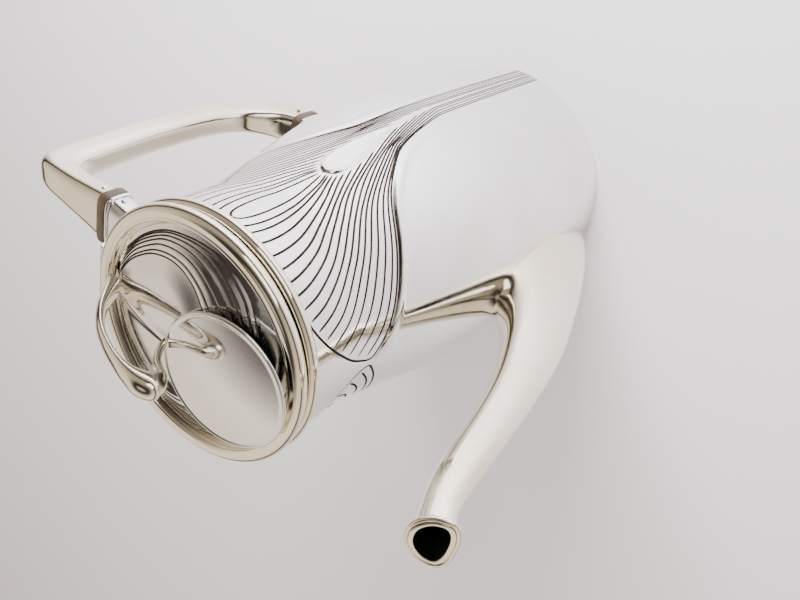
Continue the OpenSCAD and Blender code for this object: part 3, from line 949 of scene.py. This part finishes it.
def lid_dome():
    """The dome: two mirrored halves with cut lines, and the plain underside."""
    edge = arc((0, 0), DOME_R, 0, 180, 120)
    chord = [(x, 0.0) for x in np.linspace(-DOME_R, DOME_R, 68)[1:-1]]
    grid = [(r * math.cos(a), r * math.sin(a)) for r in np.arange(1, 32, 1.0)
            for a in np.linspace(0, math.pi, 2 + int(2.9 * r))[1:-1]]
    grid = [place for place, gap in zip(grid, to_nearest_line(np.array(grid))) if gap > BAND_HALF]
    step = [np.array(arc((0, 0), DOME_STEP_R + dr, 1, 179, 110)) for dr in (-0.05, 0.2, 0.45, 0.7, 0.9)]
    lines = [(path, LID_LINE_W, (1, 1)) for path in LID_PATHS]
    flat, faces, deep, cut, _, _ = engraved_sheet(edge + chord, grid, lines, LID_BANDS + step)
    top = np.column_stack([flat, lid_height(flat) - deep])
    under = np.column_stack([flat, plain_dome(flat) - DOME_T])
    n = len(flat)
    points = np.vstack([top, under])
    polygons = faces + [tuple(i + n for i in f[::-1]) for f in faces]
    colours = [int(c) for c in cut] + [0] * len(faces)
    rim = [int(np.argmin(np.hypot(*(flat - p).T))) for p in edge]
    skirt = [(a, b, b + n, a + n) for a, b in zip(rim[:-1], rim[1:])]
    polygons += skirt
    colours += [0] * len(skirt)
    both = np.vstack([points, points * (1, -1, 1)])
    polygons += [tuple(i + 2 * n for i in f) for f in polygons]
    obj = new_piece("reeded_lid_dome", both, polygons, [SILVER, OXIDE], "lid", ["lid_dome"],
                    "engraved_silver", sharp=False, colours=colours * 2)
    set_dome_normals(obj.data)


def set_dome_normals(mesh):
    """Shades the top by its true curve, the underside by the plain dome, and the cuts by their faces."""
    co = np.zeros(len(mesh.vertices) * 3)
    mesh.vertices.foreach_get("co", co)
    co = co.reshape(-1, 3) / MM
    true = lid_normals(co[:, :2])
    below = np.column_stack([co[:, :2] * 2 * DOME_RISE / DOME_R ** 2, np.ones(len(co))])
    below /= -np.linalg.norm(below, axis=1)[:, None]
    normals = []
    for face in mesh.polygons:
        own = tuple(face.normal)
        upper = own[2] > 0.5 and not face.material_index
        for k in face.loop_indices:
            v = mesh.loops[k].vertex_index
            normals.append(tuple(true[v]) if upper else tuple(below[v]) if own[2] < -0.5 else own)
    mesh.normals_split_custom_set(normals)


def leaf():
    """The round leaf: a thin domed disc with a rolled edge on its post."""
    low = -LEAF_T * 0.1
    radii = np.linspace(0, LEAF_R - 1.1, 24)
    top = [(r, LEAF_T - LEAF_BALL_R + math.sqrt(LEAF_BALL_R ** 2 - r * r)) for r in radii]
    edge_z = top[-1][1]
    bead = arc((LEAF_R - 0.55, edge_z - 0.32), 0.55, 110, -90, 14)
    outline = top + bead + [(LEAF_R - 1.4, edge_z - 0.95), (6, low), (0, low)]
    verts, faces = revolve(outline, 256)
    turn = np.array(Matrix.Rotation(-LEAF_TILT, 3, "Y"))
    verts = verts @ turn.T + (LEAF_X, 0, LEAF_Z)
    foot_z, top_z = DOME_Z + 5.2, LEAF_Z - 0.2
    post = revolve([(0, foot_z), (6.5, foot_z), (4.6, foot_z + 1.2), (4.4, top_z), (0, top_z)], 64, "Z",
                   (LEAF_POST_X, 0, 0))
    new_piece("round_leaf", *joined((verts, faces), post), SILVER, "lid", ["lid_leaf"], "silver")


def loop():
    last = len(LOOP_ROWS) - 1
    rings = [section(LOOP_ROWS, t, LOOP_ROUND, 0, 64) for t in np.linspace(0, last, 260)]
    new_piece("lid_loop", *loft(rings), WARM, "lid", ["finial_loop"], "warm_silver")


# ---- hinge ----
def knuckle(y0, y1, bore):
    """A hinge knuckle with eased ends, from y0 to y1."""
    ease_r = KNUCKLE_R - 0.25
    outline = [(bore, y0), (ease_r, y0), (KNUCKLE_R, y0 + 0.25)]
    outline += [(KNUCKLE_R, y1 - 0.25), (ease_r, y1), (bore, y1)]
    return revolve(outline, 64, "Y", (HINGE_X, 0, HINGE_Z))


def hinge():
    """The body's two knuckles on their bracket, the lid's knuckle between them, and the pin."""
    outer_x = HINGE_X + KNUCKLE_R
    inner_y = KNUCKLE_HALF + KNUCKLE_GAP
    parts = []
    for y0, y1 in ((-HINGE_HALF, -inner_y), (inner_y, HINGE_HALF)):
        parts.append(knuckle(y0, y1, HINGE_PIN_R))
        parts.append(bevelled_block((STRAP_X, y0, RING_Z - 1.2), (outer_x, y1, HINGE_Z), 0.2))
    low, high = (NECK_R - 1.15, -HINGE_HALF, BRACKET_Z), (outer_x, HINGE_HALF, RING_Z - 0.2)
    parts.append(bevelled_block(low, high, 0.4))
    new_piece("hinge_body_bracket", *joined(*parts), SILVER, "pot", ["hinge_body_leaf"], "silver")
    low, high = (NOTCH_X - 0.2, -KNUCKLE_HALF, RIM_Z + 0.3), (HINGE_X, KNUCKLE_HALF, NOTCH_TOP + 0.2)
    barrel = knuckle(-KNUCKLE_HALF, KNUCKLE_HALF, HINGE_PIN_R + 0.05)
    lid_parts = joined(barrel, bevelled_block(low, high, 0.15))
    new_piece("hinge_lid_knuckle", *lid_parts, SILVER, "lid", ["hinge_lid_leaf"], "silver")
    half, tip_r = HINGE_HALF, 0.55
    outline = [(0, -half), (tip_r, -half), (HINGE_PIN_R, -half + 0.2)]
    outline += [(HINGE_PIN_R, half - 0.2), (tip_r, half), (0, half)]
    pin = revolve(outline, 40, "Y", (HINGE_X, 0, HINGE_Z))
    new_piece("hinge_pin_rod", *pin, SILVER, "pot", ["hinge_pin"], "silver")


# ---- room ----
def floor():
    """A plain pale floor."""
    bpy.ops.mesh.primitive_plane_add(size=6)
    plane = bpy.context.active_object
    plane.name = "floor"
    g = Graph("pale_floor")
    g.shader.inputs["Base Color"].default_value = (0.85, 0.81, 0.85, 1)
    g.shader.inputs["Roughness"].default_value = 0.55
    plane.data.materials.append(g.material)


def area_light(name, place, aim, size, power, mirrored=True):
    """A soft rectangular light. The silver shows it only when it is mirrored."""
    data = bpy.data.lights.new(name, "AREA")
    data.shape = "RECTANGLE"
    data.size, data.size_y = size
    data.energy = power
    lamp = bpy.data.objects.new(name, data)
    bpy.context.scene.collection.objects.link(lamp)
    lamp.location = place
    lamp.rotation_euler = (Vector(aim) - Vector(place)).to_track_quat("-Z", "Y").to_euler()
    lamp.visible_glossy = mirrored


# What the silver mirrors above the floor, as (height of the direction, colour): a brown horizon,
# a warm pale room and a dark ceiling with a paler patch straight above.
ROOM = [
    (0.0, (0.30, 0.26, 0.22)), (0.03, (0.035, 0.024, 0.015)), (0.13, (0.06, 0.045, 0.032)),
    (0.22, (0.85, 0.72, 0.58)), (0.62, (1.0, 0.85, 0.70)), (0.82, (0.22, 0.19, 0.17)),
    (0.89, (0.05, 0.044, 0.04)), (0.955, (0.06, 0.053, 0.048)), (1.0, (0.60, 0.55, 0.50)),
]


def studio():
    """A pale room: plain to the eye, with darker parts for the silver to mirror."""
    world = bpy.data.worlds.new("studio")
    bpy.context.scene.world = world
    world.use_nodes = True
    tree = world.node_tree
    tree.nodes.clear()
    link = tree.links.new
    out = tree.nodes.new("ShaderNodeOutputWorld")
    place = tree.nodes.new("ShaderNodeTexCoord")
    split = tree.nodes.new("ShaderNodeSeparateXYZ")
    link(place.outputs["Generated"], split.inputs[0])
    ramp = tree.nodes.new("ShaderNodeValToRGB")
    set_stops(ramp, ROOM)
    link(split.outputs["Z"], ramp.inputs["Fac"])
    side = tree.nodes.new("ShaderNodeMapRange")
    for name, value in (("From Min", -0.6), ("From Max", 0.7), ("To Min", 0.5), ("To Max", 1.5)):
        side.inputs[name].default_value = value
    link(split.outputs["Y"], side.inputs["Value"])
    room = tree.nodes.new("ShaderNodeBackground")
    link(ramp.outputs["Color"], room.inputs["Color"])
    link(side.outputs[0], room.inputs["Strength"])
    plain = tree.nodes.new("ShaderNodeBackground")
    plain.inputs["Color"].default_value = (0.86, 0.86, 0.90, 1)
    path = tree.nodes.new("ShaderNodeLightPath")
    mix = tree.nodes.new("ShaderNodeMixShader")
    link(path.outputs["Is Camera Ray"], mix.inputs[0])
    link(room.outputs[0], mix.inputs[1])
    link(plain.outputs[0], mix.inputs[2])
    link(mix.outputs[0], out.inputs["Surface"])
    area_light("top_softbox", (0.1, 0.1, 1.4), (0.1, 0.1, 0), (1.6, 1.6), 17, mirrored=False)
    area_light("window_softbox", (0.14, -0.44, 0.30), (0.03, -0.15, 0), (0.3, 0.25), 9, mirrored=False)
    area_light("near_softbox", (-0.35, -0.85, 0.5), (0, -0.1, 0), (0.7, 0.4), 3)


def camera():
    """The camera where the photographer stood, in metres round the upright pot."""
    data = bpy.data.cameras.new("photo_view")
    data.lens = 33.32
    data.sensor_width = 36
    eye = bpy.data.objects.new("photo_view", data)
    bpy.context.scene.collection.objects.link(eye)
    right = Vector((-0.79590, -0.25177, -0.55060))
    down = Vector((-0.50520, 0.77737, 0.37481))
    ahead = Vector((0.33366, 0.57647, -0.74589))
    turn = Matrix((right, -down, -ahead)).transposed()
    eye.matrix_world = Matrix.Translation((-0.1053, -0.1373, 0.2889)) @ turn.to_4x4()
    bpy.context.scene.camera = eye


def bottom_plate():
    """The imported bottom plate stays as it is, in silver."""
    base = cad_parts["base_plate"]
    base.data.materials.clear()
    base.data.materials.append(SILVER)


# ---- the object ----
camera()
floor()
studio()
pot_body()
spout()
grip()
fittings()
rims()
lid_dome()
leaf()
loop()
hinge()
bottom_plate()
